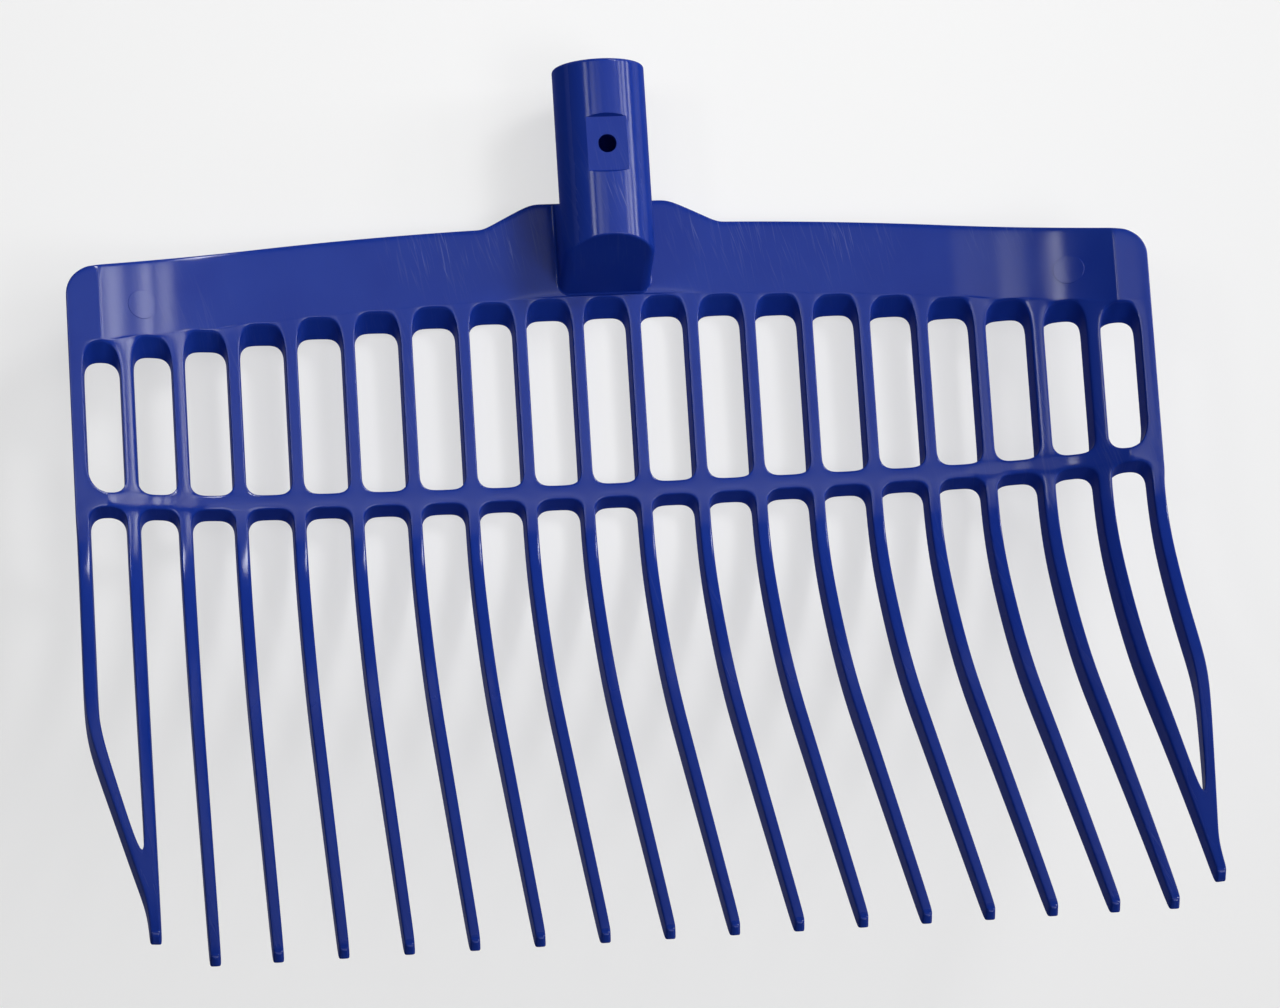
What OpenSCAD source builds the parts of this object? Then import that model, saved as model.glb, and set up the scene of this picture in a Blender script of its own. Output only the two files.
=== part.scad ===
// Manure fork head, lying on its back with the hollow side up.
// X runs across the head, +Y points along the handle socket, +Z is up; lengths in mm.
// Origin: middle of the bounding box in X and Y, lowest point in Z.

/* [Bars and tines] */
// Distance between neighbouring bars, measured along the bowed wall
pitch = 22; // [19:0.5:25]
// Depth of the wall, front to back
bar_depth = 10; // [8:0.5:13]
// Bar width on the front (hollow) side
bar_front = 3.8; // [3:0.1:5.5]
// Bar width on the back
bar_back = 5.4; // [5:0.1:7]
// Tine length from root to tip, along the tine
tine_length = 232; // [200:1:260]
// How much shorter the two outermost tines are
outer_tine_cut = 14; // [8:0.5:18]
// Radius of the tight bend below the crossbar
bend_radius = 58; // [48:1:70]
// Angle of the tight bend
bend_angle = 31; // [26:1:36]
// Radius of the wide sweep that follows it
sweep_radius = 195; // [160:1:230]
// Angle of the wide sweep
sweep_angle = 21; // [16:1:25]
// Tine depth at the tip
tip_depth = 5.75; // [4.5:0.25:8]
// Tine width at the tip, front side
tip_front = 3.2; // [2.6:0.1:4.5]
// Tine width at the tip, back
tip_back = 4; // [3.2:0.1:5.5]

/* [Bow across the head] */
// Radius of the middle of the wall
bow_radius = 955; // [750:5:1300]
// Half length of the middle part, along the wall
bow_half = 133; // [115:0.5:150]
// Radius of the turned-up wings
wing_radius = 115; // [100:1:145]
// Lean of the flat strips along both sides, in degrees
brim_lean = 12; // [0:1:20]

/* [Crossbar and slots] */
// Height of the crossbar's front face
crossbar_height = 5.5; // [4:0.25:8]
// Distance from the crossbar's upper edge down to the tine roots
root_drop = 12.5; // [11:0.5:16]
// Top of the middle slot above the crossbar, on the front
slot_top_mid = 71.5; // [62:0.5:78]
// Height of the corner curve at the front top of a slot
slot_top_round = 6.8; // [5:0.2:7.2]
// Height of the corner curve at the outer foot of the two outermost slots
outer_round = 8; // [5:0.25:10]
// Corner radius at the other slot corners
slot_round = 4.4; // [3:0.2:5]

/* [Back plate] */
// Height of the plate between slot tops and upper edge
plate_height = 28.5; // [24:0.5:36]
// Radius of the arch of the plate's two long edges
arch_radius = 1250; // [1000:10:1700]
// Height of the plate's front skin
plate_skin = 4; // [3:0.25:5]
// Thickness of the plate's upper and lower flanges
flange = 3.5; // [2.5:0.25:5]
// Thickness of the ribs behind the plate
rib = 3; // [2:0.25:4.5]
// Rise of the hump that carries the socket
hump_rise = 8.5; // [6:0.5:12]
// Half width of the hump's flat top
hump_flat = 26.5; // [22:0.5:30]
// Half width of the hump's foot
hump_foot = 45; // [38:0.5:52]
// Radius of the plate's outer top corners
corner_round = 7; // [5:0.5:10]

/* [Side rails] */
// Width of the rails along both sides
rail_width = 5.4; // [4.8:0.1:7]
// Tine length at which the lower rails start to lean inwards
rail_lean_start = 88; // [75:1:105]
// Tine length at which they have merged with the outermost tines
rail_merge = 202; // [185:1:210]

/* [Handle socket] */
// Outer diameter of the socket
socket_diameter = 35; // [33:0.5:40]
// Handle bore diameter
bore_diameter = 28; // [24:0.5:28.5]
// Depth of the bore
bore_depth = 60; // [50:1:62]
// Height of the socket axis above the middle of the wall
axis_height = 24; // [22:0.5:30]
// Distance of the socket mouth from the crossbar's upper edge
mouth_reach = 156; // [150:0.5:165]
// Foot of the socket on the plate, above the crossbar's upper edge
socket_foot = 72.5; // [72:0.5:76]
// Corner radius of the foot
foot_round = 4; // [2:0.25:6]
// Bevel on the rim of the mouth
rim_bevel = 1; // [0.5:0.1:1.5]
// Diameter of the hole for the fixing screw
screw_hole = 7; // [5:0.25:8]
// Distance of the screw hole from the mouth
screw_reach = 32.5; // [28:0.5:36]
// Length of the flat pad round the screw hole
pad_length = 20.5; // [18:0.5:24]
// Depth of the flat pad
pad_depth = 1.75; // [1.25:0.05:2]

/* [Hidden] */
tine_count = 18;
bar_count = tine_count + 2;
mid_slot = bar_count / 2;
deg = 180 / PI;
// How far cutting solids reach past what they cut
over = 1.5;
// Slopes: crossbar's upper and lower face, slot tops, foot of the socket, end of its saddle
crossbar_tilt = 0.33;
slot_ramp = 0.7;
foot_ramp = 0.44;
saddle_lean = 0.19;
// Powers by which the bow and the taper run out along a tine
bow_fade = 1.9;
taper_power = 1.4;
// Shares: largest corner of a slot's half width, bevel of a bar's width, tip end of the tine
corner_share = 0.9;
bevel_share = 0.2;
tip_share = 0.55;
edge_pull = 0.06;
shoulder_share = 0.7;
// Depth of a lower rail where it has merged, as a share of the tine's depth
merge_share = 0.85;
bend_steps = 5;
straight_steps = 5;
corner_steps = 5;
blue = [0.13, 0.17, 0.50];

// Arc length along the wall of bar i, counted 1 to bar_count from the left
// The outermost ones stand closer by edge_pull, a share of the pitch
function side(t) = t < 0 ? -1 : 1;
function bar_t(i) = let (c = i - (bar_count + 1) / 2)
  pitch * (c - side(c) * edge_pull * max(0, 2 * abs(c) - bar_count + 2));
rail_t = bar_t(bar_count);
brim_t = bar_t(bar_count - 0.5);
centre_turn = bow_half / bow_radius * deg;

// Bowed wall: turn, position and slope at arc length t. Middle, wings, then a flat strip from brim_t on
function arc_turn(t) = t <= bow_half ? t / bow_radius * deg
  : centre_turn + (t - bow_half) / wing_radius * deg;
function arc_x(t) = t <= bow_half ? bow_radius * sin(arc_turn(t))
  : bow_radius * sin(centre_turn) + wing_radius * (sin(arc_turn(t)) - sin(centre_turn));
function arc_z(t) = t <= bow_half ? bow_radius * (1 - cos(arc_turn(t)))
  : bow_radius * (1 - cos(centre_turn)) + wing_radius * (cos(centre_turn) - cos(arc_turn(t)));
function turn(t) = t <= brim_t ? arc_turn(t) : brim_lean;
function bow_x(t) = arc_x(min(t, brim_t)) + max(0, t - brim_t) * cos(brim_lean);
function bow_z(t) = arc_z(min(t, brim_t)) + max(0, t - brim_t) * sin(brim_lean);
function wall_x(t) = side(t) * bow_x(abs(t));
function wall_z(t) = bow_z(abs(t)) + bar_depth / 2;
function wall_slope(t) = side(t) * tan(turn(abs(t)));

edge_x = wall_x(rail_t) + rail_width / 2;
edge_z = wall_z(rail_t) + wall_slope(rail_t) * rail_width / 2;

// Long edges of the plate: both follow one arch, the upper one with the hump
function arch(t) = t * t / (2 * arch_radius);
function slot_top(t) = slot_top_mid - arch(t);
function plate_arch(t) = slot_top(t) + plate_height;
hump_top = plate_arch(0) + hump_rise;
function hump_share(t) = min(1, max(0, (hump_foot - abs(t)) / (hump_foot - hump_flat)));
function plate_top(t) = plate_arch(t) + (hump_top - plate_arch(t)) * hump_share(t);

// Heights at which the bars are parted from crossbar and plate, clear of the corner radii
bar_start = slot_round + over;
function bar_end(i) = slot_top(abs(bar_t(i)) + pitch / 2) - slot_ramp * bar_depth - slot_round - over;

// Tine centre line: distance s from the root gives position and lean
bend_length = bend_radius * bend_angle / deg;
sweep_length = sweep_radius * sweep_angle / deg;
curve_length = bend_length + sweep_length;
full_lean = bend_angle + sweep_angle;
function lean(s) = s < bend_length ? s / bend_radius * deg
  : min(full_lean, bend_angle + (s - bend_length) / sweep_radius * deg);
function bent(s) = min(lean(s), bend_angle);
function swept(s) = max(lean(s), bend_angle);
function beyond(s) = max(0, s - curve_length);
function path_y(s) = -root_drop - bend_radius * sin(bent(s))
  - sweep_radius * (sin(swept(s)) - sin(bend_angle)) - beyond(s) * cos(full_lean);
function path_z(s) = bend_radius * (1 - cos(bent(s)))
  + sweep_radius * (cos(bend_angle) - cos(swept(s))) + beyond(s) * sin(full_lean);
function fade(s) = 1 - pow(s / tine_length, bow_fade);
function mix(a, b, q) = a + (b - a) * q;
function taper(a, b, s) = mix(a, b, pow(s / tine_length, taper_power));

// One ring of a tine or rail: bevelled trapezoid, front up, sheared with the wall's slope
function section(front, back, depth, bevel) = let (f = front / 2, b = back / 2, h = depth / 2)
  [[bevel - b, -h], [b - bevel, -h], [b, bevel - h], [f, h - bevel],
   [f - bevel, h], [bevel - f, h], [-f, h - bevel], [-b, bevel - h]];
function placed(shape, x, z, slope, s) = [for (p = shape)
  let (d = p[1] + p[0] * slope * fade(s))
  [x + p[0], path_y(s) + d * sin(lean(s)), z * fade(s) + path_z(s) + d * cos(lean(s)) + bar_depth / 2]];
function tine_section(s, share) = section(
  taper(bar_front, tip_front, s) * share, taper(bar_back, tip_back, s) * share,
  taper(bar_depth, tip_depth, s) * share, taper(bar_front, tip_front, s) * bevel_share * share);
function stations(end) = concat(
  [for (k = [0 : bend_steps - 1]) bend_length * k / bend_steps],
  [for (k = [0 : bend_steps - 1]) bend_length + sweep_length * k / bend_steps],
  [for (k = [0 : straight_steps]) mix(curve_length, end, k / straight_steps)]);

// Rings of tine n, counted from the left; the tip closes over half its depth
function tine_end(n) = n == 1 || n == tine_count ? tine_length - outer_tine_cut : tine_length;
function tine_ring(n, s, share) = let (t = bar_t(n + 1))
  placed(tine_section(s, share), wall_x(t), wall_z(t) - bar_depth / 2, wall_slope(t), s);
function tine_rings(n) = let (tip = tip_depth / 2, end = tine_end(n) - tip)
  concat([for (s = stations(end)) tine_ring(n, s, 1)],
  [tine_ring(n, end + tip * shoulder_share, mix(tip_share, 1, shoulder_share)),
   tine_ring(n, end + tip, tip_share)]);

// Rings of the lower rail on the given side; it leans over to the outermost tine
function rail_share(s) = min(1, max(0, (s - rail_lean_start) / (rail_merge - rail_lean_start)));
function rail_ring(sgn, s) = let (q = rail_share(s), t = bar_t(bar_count - 1),
    w = mix(rail_width, tip_front, q), depth = taper(bar_depth, tip_depth, s) * mix(1, merge_share, q))
  placed(section(w * bar_front / bar_back, w, depth, w * bevel_share),
    sgn * mix(wall_x(rail_t), wall_x(t), q), mix(wall_z(rail_t), wall_z(t), q) - bar_depth / 2,
    sgn * mix(wall_slope(rail_t), wall_slope(t), q), s);
rail_stations = concat(
  [for (k = [0 : bend_steps - 1]) bend_length * k / bend_steps],
  [for (k = [0 : bend_steps - 1]) mix(bend_length, rail_lean_start, k / bend_steps)],
  [for (k = [0 : straight_steps]) mix(rail_lean_start, rail_merge, k / straight_steps)]);
function rail_rings(sgn) = [for (s = rail_stations) rail_ring(sgn, s)];

// Rounded rectangle; r is the width of the corner curves, the others are their heights
function corner(x, y, r, h, from) = [for (k = [0 : corner_steps]) let (a = from + 90 * k / corner_steps)
  [x + r * cos(a), y + h * sin(a)]];
function rounded(x, half, low, high, r, top, left, right) = concat(
  corner(x + half - r, low + right, r, right, -90), corner(x + half - r, high - top, r, top, 0),
  corner(x - half + r, high - top, r, top, 90), corner(x - half + r, low + left, r, left, 180));

// Slot k lies between bars k and k + 1; w is the height above the middle of the wall
function slot_t(k) = bar_t(k + 0.5);
function slot_mid(k) = (wall_x(bar_t(k)) + wall_x(bar_t(k + 1))) / 2;
function slot_span(k) = wall_x(bar_t(k + 1)) - wall_x(bar_t(k));
function slot_lift(k) = (wall_z(bar_t(k)) + wall_z(bar_t(k + 1))) / 2;
function slot_slope(k) = (wall_z(bar_t(k + 1)) - wall_z(bar_t(k))) / slot_span(k);
function bar_width(w) = mix(bar_back, bar_front, w / bar_depth + 0.5);
function on_wall(k, shape, w) = [for (p = shape)
  [p[0], p[1], slot_lift(k) + slot_slope(k) * (p[0] - slot_mid(k)) + w]];
function slot_ring(k, w) = let (half = (slot_span(k) - bar_width(w)) / 2, down = w - bar_depth / 2)
  on_wall(k, rounded(slot_mid(k), half, crossbar_tilt * down, slot_top(slot_t(k)) + slot_ramp * down,
    min(slot_round, half * corner_share), mix(slot_round, slot_top_round, w / bar_depth + 0.5),
    k == 1 ? outer_round : slot_round, k == bar_count - 1 ? outer_round : slot_round), w);
function gap_ring(k, w) = let (half = (slot_span(k) - bar_width(w)) / 2,
    r = min(slot_round, half * corner_share), high = crossbar_tilt * (w - bar_depth / 2) - crossbar_height)
  on_wall(k, rounded(slot_mid(k), half, -root_drop * 2, high, r, r, over, over), w);
function pocket_ring(k, w) = let (half = (slot_span(k) - rib) / 2, t = slot_t(k),
    low = slot_top(t) - slot_ramp * bar_depth + flange + arch(pitch),
    high = min(plate_top(t - pitch / 2), plate_top(t + pitch / 2)) - flange)
  on_wall(k, rounded(slot_mid(k), half, low + slot_ramp * (w + bar_depth / 2), high,
    over, over, over, over), w);

// The lowest point of the tine tips and the socket mouth set the middle in Y
tip_y = min([for (r = tine_rings(2), p = r) p[1]]);
middle_y = (mouth_reach + tip_y) / 2;
axis_z = axis_height + bar_depth / 2;
socket_r = socket_diameter / 2;
crown_z = axis_z + socket_r;
pad_z = crown_z - pad_depth;
tall = crown_z + bow_radius;

// Solid through rings that all have the same number of points
module skin(rings) {
  n = len(rings[0]);
  last = len(rings) - 1;
  polyhedron(
    points = [for (r = rings) each r],
    faces = concat(
      [[for (i = [0 : n - 1]) i]],
      [for (k = [0 : last - 1], i = [0 : n - 1]) let (j = (i + 1) % n) each
        [[k * n + i, (k + 1) * n + i, (k + 1) * n + j], [k * n + i, (k + 1) * n + j, k * n + j]]],
      [[for (i = [n - 1 : -1 : 0]) last * n + i]]));
}

module at_home() {
  translate([0, -middle_y, 0]) children();
}

// The bowed wall between two heights along Y
module slab(low, high) {
  ts = [for (k = [1 : 0.5 : bar_count]) bar_t(k)];
  front = concat([[-edge_x, edge_z]], [for (t = ts) [wall_x(t), wall_z(t)]], [[edge_x, edge_z]]);
  n = len(front);
  half = bar_depth / 2;
  outline = concat([for (p = front) [p[0], p[1] + half]],
    [for (i = [n - 1 : -1 : 0]) [front[i][0], front[i][1] - half]]);
  translate([0, high, 0]) rotate([90, 0, 0]) linear_extrude(high - low) polygon(outline);
}

// The part of the wall that lies inside a plan outline
module wall_inside(outline) {
  intersection() {
    slab(-root_drop, hump_top);
    linear_extrude(tall) polygon(outline);
  }
}

// Half depth of a cut through the wall; the wall may stand off the chord between two bars
function cut_reach(k) = bar_depth / 2 + over + abs(wall_z(slot_t(k)) - slot_lift(k));

module slot_cut(k) {
  skin([slot_ring(k, -cut_reach(k)), slot_ring(k, cut_reach(k))]);
}

module gap_cut(k) {
  skin([gap_ring(k, -cut_reach(k)), gap_ring(k, cut_reach(k))]);
}

// Pocket in the back of the plate; the middle one goes on into the foot of the socket
module pocket_cut(k) {
  floor_w = k == mid_slot ? axis_height - bore_diameter / 2 - flange : bar_depth / 2 - plate_skin;
  skin([pocket_ring(k, -cut_reach(k)), pocket_ring(k, floor_w)]);
}

// Left and right limits of the strip that belongs to bar i
function strip_left(i) = i == 1 ? -edge_x : slot_mid(i - 1);
function strip_right(i) = i == bar_count ? edge_x : slot_mid(i);

module bar(i) {
  l = strip_left(i);
  r = strip_right(i);
  at_home() difference() {
    wall_inside([[l, bar_start], [r, bar_start], [r, bar_end(i)], [l, bar_end(i)]]);
    if (i > 1) slot_cut(i - 1);
    if (i < bar_count) slot_cut(i);
  }
}

module tine(n) {
  at_home() skin(tine_rings(n));
}

module rail(sgn) {
  at_home() difference() {
    skin(rail_rings(sgn));
    skin(tine_rings(sgn < 0 ? 1 : tine_count));
  }
}

module crossbar() {
  color(blue) at_home() difference() {
    wall_inside([[-edge_x, -root_drop], [edge_x, -root_drop], [edge_x, bar_start], [-edge_x, bar_start]]);
    for (k = [1 : bar_count - 1]) {
      slot_cut(k);
      gap_cut(k);
    }
  }
}

module back_plate() {
  r = corner_round;
  ts = [for (k = [1 : 0.5 : bar_count]) bar_t(k)];
  top_x = edge_x - r;
  top_y = plate_arch(rail_t) - r;
  outline = concat(
    corner(top_x, top_y, r, r, 0),
    [for (i = [len(ts) - 1 : -1 : 0]) if (abs(ts[i]) > hump_foot && bow_x(abs(ts[i])) < top_x)
      [wall_x(ts[i]), plate_arch(ts[i])]],
    corner(-top_x, top_y, r, r, 90),
    [for (i = [1 : bar_count]) each [[strip_left(i), bar_end(i)], [strip_right(i), bar_end(i)]]]);
  hump = [[-hump_foot, plate_arch(hump_foot)], [-hump_foot, slot_top(0)], [hump_foot, slot_top(0)],
    [hump_foot, plate_arch(hump_foot)], [hump_flat, hump_top], [-hump_flat, hump_top]];
  color(blue) at_home() difference() {
    intersection() {
      slab(-root_drop, hump_top);
      linear_extrude(tall) union() {
        polygon(outline);
        polygon(hump);
      }
    }
    for (k = [1 : bar_count - 1]) {
      slot_cut(k);
      pocket_cut(k);
    }
  }
}

// Outline of the socket at height z, with the slanted foot and its round corners
function foot_ring(z) = let (r = foot_round + over, x = socket_r + over - r,
    y = socket_foot + foot_ramp * (z - bar_depth))
  [for (p = concat(corner(-x, y + r, r, r, 180), corner(x, y + r, r, r, 270),
    [[x + r, mouth_reach + over], [-x - r, mouth_reach + over]])) [p[0], p[1], z]];

module socket() {
  plate_z = bar_depth - plate_skin;
  foot_y = socket_foot - foot_ramp * plate_skin;
  saddle_end = hump_top - saddle_lean * (axis_z - plate_z);
  color(blue) at_home() difference() {
    intersection() {
      union() {
        translate([0, mouth_reach - rim_bevel, axis_z]) rotate([90, 0, 0])
          cylinder(h = mouth_reach - rim_bevel - foot_y, r = socket_r);
        translate([0, mouth_reach - rim_bevel, axis_z]) rotate([-90, 0, 0])
          cylinder(h = rim_bevel, r1 = socket_r, r2 = socket_r - rim_bevel);
        translate([-socket_r, 0, 0]) rotate([90, 0, 90]) linear_extrude(socket_diameter)
          polygon([[foot_y, plate_z], [hump_top, plate_z], [saddle_end, axis_z], [foot_y, axis_z]]);
      }
      skin([foot_ring(plate_z), foot_ring(crown_z + over)]);
    }
    slab(-root_drop, hump_top);
    translate([0, mouth_reach + over, axis_z]) rotate([90, 0, 0])
      cylinder(h = bore_depth + over, d = bore_diameter);
    translate([0, mouth_reach - screw_reach, axis_z]) cylinder(h = socket_diameter, d = screw_hole);
    translate([-socket_diameter, mouth_reach - screw_reach, pad_z]) rotate([90, 0, 90])
      linear_extrude(socket_diameter * 2) polygon([[-pad_length / 2, 0], [pad_length / 2, 0],
        [pad_length / 2 + pad_depth * 2, pad_depth * 2], [-pad_length / 2 - pad_depth * 2, pad_depth * 2]]);
    pocket_cut(mid_slot);
  }
}

module side_bar_left() {
  color(blue) bar(1);
}

module side_bar_right() {
  color(blue) bar(bar_count);
}

module side_rail_left() {
  color(blue) rail(-1);
}

module side_rail_right() {
  color(blue) rail(1);
}

module bar_01() {
  color(blue) bar(2);
}

module bar_02() {
  color(blue) bar(3);
}

module bar_03() {
  color(blue) bar(4);
}

module bar_04() {
  color(blue) bar(5);
}

module bar_05() {
  color(blue) bar(6);
}

module bar_06() {
  color(blue) bar(7);
}

module bar_07() {
  color(blue) bar(8);
}

module bar_08() {
  color(blue) bar(9);
}

module bar_09() {
  color(blue) bar(10);
}

module bar_10() {
  color(blue) bar(11);
}

module bar_11() {
  color(blue) bar(12);
}

module bar_12() {
  color(blue) bar(13);
}

module bar_13() {
  color(blue) bar(14);
}

module bar_14() {
  color(blue) bar(15);
}

module bar_15() {
  color(blue) bar(16);
}

module bar_16() {
  color(blue) bar(17);
}

module bar_17() {
  color(blue) bar(18);
}

module bar_18() {
  color(blue) bar(19);
}

module tine_01() {
  color(blue) tine(1);
}

module tine_02() {
  color(blue) tine(2);
}

module tine_03() {
  color(blue) tine(3);
}

module tine_04() {
  color(blue) tine(4);
}

module tine_05() {
  color(blue) tine(5);
}

module tine_06() {
  color(blue) tine(6);
}

module tine_07() {
  color(blue) tine(7);
}

module tine_08() {
  color(blue) tine(8);
}

module tine_09() {
  color(blue) tine(9);
}

module tine_10() {
  color(blue) tine(10);
}

module tine_11() {
  color(blue) tine(11);
}

module tine_12() {
  color(blue) tine(12);
}

module tine_13() {
  color(blue) tine(13);
}

module tine_14() {
  color(blue) tine(14);
}

module tine_15() {
  color(blue) tine(15);
}

module tine_16() {
  color(blue) tine(16);
}

module tine_17() {
  color(blue) tine(17);
}

module tine_18() {
  color(blue) tine(18);
}

socket();
back_plate();
crossbar();
side_bar_left();
side_bar_right();
side_rail_left();
side_rail_right();
bar_01();
bar_02();
bar_03();
bar_04();
bar_05();
bar_06();
bar_07();
bar_08();
bar_09();
bar_10();
bar_11();
bar_12();
bar_13();
bar_14();
bar_15();
bar_16();
bar_17();
bar_18();
tine_01();
tine_02();
tine_03();
tine_04();
tine_05();
tine_06();
tine_07();
tine_08();
tine_09();
tine_10();
tine_11();
tine_12();
tine_13();
tine_14();
tine_15();
tine_16();
tine_17();
tine_18();
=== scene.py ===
import math

import bmesh
import bpy
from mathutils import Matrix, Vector


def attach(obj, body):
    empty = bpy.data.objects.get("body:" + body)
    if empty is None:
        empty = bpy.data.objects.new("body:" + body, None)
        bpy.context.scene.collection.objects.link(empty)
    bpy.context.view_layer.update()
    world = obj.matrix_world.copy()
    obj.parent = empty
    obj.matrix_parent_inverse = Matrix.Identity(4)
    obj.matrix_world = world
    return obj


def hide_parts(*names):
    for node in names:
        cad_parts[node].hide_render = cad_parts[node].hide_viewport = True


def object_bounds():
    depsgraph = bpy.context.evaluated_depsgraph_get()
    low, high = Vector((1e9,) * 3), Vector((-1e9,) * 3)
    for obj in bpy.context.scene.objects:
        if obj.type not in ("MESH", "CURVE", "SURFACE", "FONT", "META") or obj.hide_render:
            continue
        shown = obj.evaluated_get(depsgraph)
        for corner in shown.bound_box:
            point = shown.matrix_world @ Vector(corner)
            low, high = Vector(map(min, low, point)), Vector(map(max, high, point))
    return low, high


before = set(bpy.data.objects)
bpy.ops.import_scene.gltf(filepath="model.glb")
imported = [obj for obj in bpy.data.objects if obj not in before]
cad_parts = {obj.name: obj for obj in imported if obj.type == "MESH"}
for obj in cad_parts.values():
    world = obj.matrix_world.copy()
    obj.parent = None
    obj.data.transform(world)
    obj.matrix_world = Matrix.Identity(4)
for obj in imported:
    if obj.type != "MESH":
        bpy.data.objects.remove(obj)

cad_low, cad_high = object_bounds()

# Lengths are in millimetres, those of the floor and the lamps in metres
# x runs across the head, t along its bow and s along a tine from its root
# Height u runs up the wall from the crossbar, and w through the wall from its middle to the front
MM = 0.001

# Bars of the slotted wall
BAR_COUNT = 20
EDGE_BARS = (1, BAR_COUNT)
OUTER_TINES = (2, BAR_COUNT - 1)
EDGE_SLOTS = (1, BAR_COUNT - 1)
PITCH = 22
EDGE_PULL = 0.06  # share of the pitch by which the outermost bars stand closer
BAR_DEPTH = 10
HALF = BAR_DEPTH / 2
BAR_FRONT = 4.5
BAR_BACK = 5.5

# Tines: a tight bend, a wide sweep, then straight to the tip
TINE_LENGTH = 232
OUTER_TINE_CUT = 14
ROOT_DROP = 12.5
BEND_RADIUS = 58
BEND_ANGLE = math.radians(31)
SWEEP_RADIUS = 195
SWEEP_ANGLE = math.radians(21)
TIP_DEPTH = 5.75
TIP_FRONT = 3.5
TIP_BACK = 4.1
TAPER_POWER = 1.4
BOW_FADE = 1.9  # power with which the bow of the wall fades out along a tine

# Side rails: they lean in after a soft bend until they meet the outermost tines
RAIL_WIDTH = 5.4
RAIL_LEAN_START = 95
RAIL_BEND = 17
RAIL_MERGE = 206
CROTCH = 177.5  # where the gap between rail and tine closes

# Bow across the head: a wide arc in the middle, a tighter arc in each wing, a flat brim at each end
BOW_RADIUS = 955
BOW_HALF = 133
WING_RADIUS = 115
BRIM_LEAN = math.radians(12)

# Slots, the gaps between the tines, and the crossbar between both
CROSSBAR_HEIGHT = 5.5
CROSSBAR_TILT = 0.33
SLOT_TOP_MID = 71.5
SLOT_TOP_ROUND = 10
SLOT_ROUND = 4.4
SLOT_RAMP = 0.7
OUTER_ROUND = 9
OUTER_SHARE = 0.96  # width of the outermost lower corners, as a share of half the slot
CORNER_SHARE = 0.9  # most that the other corners take of half the slot
SEAM_SLACK = 1.5  # between a rounded corner and a straight bar

# Plate above the slots, with a hump under the socket and pockets behind
PLATE_HEIGHT = 28.5
ARCH_RADIUS = 1250
PLATE_SKIN = 4
SOCKET_SKIN = 1.1  # in front of the middle pocket, behind the socket
FLANGE = 3.5
RIB = 3
HUMP_RISE = 8.5
HUMP_FLAT = 26.5
HUMP_FOOT = 45
HUMP_TOP = SLOT_TOP_MID + PLATE_HEIGHT + HUMP_RISE
CORNER_ROUND = 7

# Low step along the lower edge of the plate, highest in the middle
STEP_RISE = 0.9
STEP_HALF = 37
STEP_FOOT = 0.3
STEP_HEAD = 0.9

# Socket for the handle, its screw hole and the flat pad round the hole
SOCKET_R = 17.5
BORE_R = 14
BORE_DEPTH = 60
AXIS_RISE = 24
AXIS_Z = AXIS_RISE + HALF
MOUTH = 156
SOCKET_FOOT = 72.5
FOOT_ROUND = 4
FOOT_RAMP = 0.44
SADDLE_LEAN = 0.19
SCREW_R = 3.5
SCREW_INSET = 32.5
SCREW_U = MOUTH - SCREW_INSET
PAD_LENGTH = 20.5
PAD_DEPTH = 1.75

# Rounding of the edges, and how finely the cage is drawn
BEVEL = 0.35
CROWN = 0.05  # rise of a bar towards its middle line
SUPPORT = 0.24  # rows that keep the sides flat, as a share of the depth
ARC_ANGLES = [math.radians(a) for a in (90, 60, 30, 0)]
ARCS = len(ARC_ANGLES)
BAR_ROWS = 4
STATIONS = [2, 10, 20.5, 31.4, 45, 60, 74, 88, 102, 118, 137, 158, CROTCH, 190, 202]
CROTCH_ROW = ARCS + STATIONS.index(CROTCH)
TIP_RINGS = [(1, 1), (0.35, 0.88), (0, 0.55)]  # way to the end in half depths, share of the section
SMOOTH_LEVEL = 2
BRIM_CREASE = 0.4
POCKET_CREASE = 0.85

# The mouth of the socket is the far end of the solids along y
MIDDLE = MOUTH - cad_high.y / MM


def mix(a, b, q):
    return a + (b - a) * q


def clamp(q):
    return min(1, max(0, q))


# Places along the bow, and slopes on it
CENTRE_TURN = BOW_HALF / BOW_RADIUS
BOW_END = BOW_RADIUS * math.sin(CENTRE_TURN)
WING_X = (BOW_RADIUS - WING_RADIUS) * math.sin(CENTRE_TURN)
WING_Z = BOW_RADIUS - (BOW_RADIUS - WING_RADIUS) * math.cos(CENTRE_TURN)
BRIM_T = (BAR_COUNT / 2 - 1) * PITCH
BRIM_TURN = CENTRE_TURN + (BRIM_T - BOW_HALF) / WING_RADIUS
BRIM_X = WING_X + WING_RADIUS * math.sin(BRIM_TURN)
BRIM_Z = WING_Z - WING_RADIUS * math.cos(BRIM_TURN)


def turn(x):
    """Angle by which the wall has turned at x."""
    if abs(x) <= BOW_END:
        return math.asin(abs(x) / BOW_RADIUS)
    if abs(x) <= BRIM_X:
        return math.asin((abs(x) - WING_X) / WING_RADIUS)
    return BRIM_LEAN


def bow_height(x):
    if abs(x) <= BOW_END:
        return BOW_RADIUS * (1 - math.cos(turn(x)))
    if abs(x) <= BRIM_X:
        return WING_Z - WING_RADIUS * math.cos(turn(x))
    return BRIM_Z + (abs(x) - BRIM_X) * math.tan(BRIM_LEAN)


def bow_slope(x):
    return math.copysign(math.tan(turn(x)), x)


def arc_length(x):
    """Distance along the bow from the middle to x."""
    if abs(x) <= BOW_END:
        return BOW_RADIUS * turn(x)
    if abs(x) <= BRIM_X:
        return BOW_HALF + WING_RADIUS * (turn(x) - CENTRE_TURN)
    return BRIM_T + (abs(x) - BRIM_X) / math.cos(BRIM_LEAN)


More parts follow.
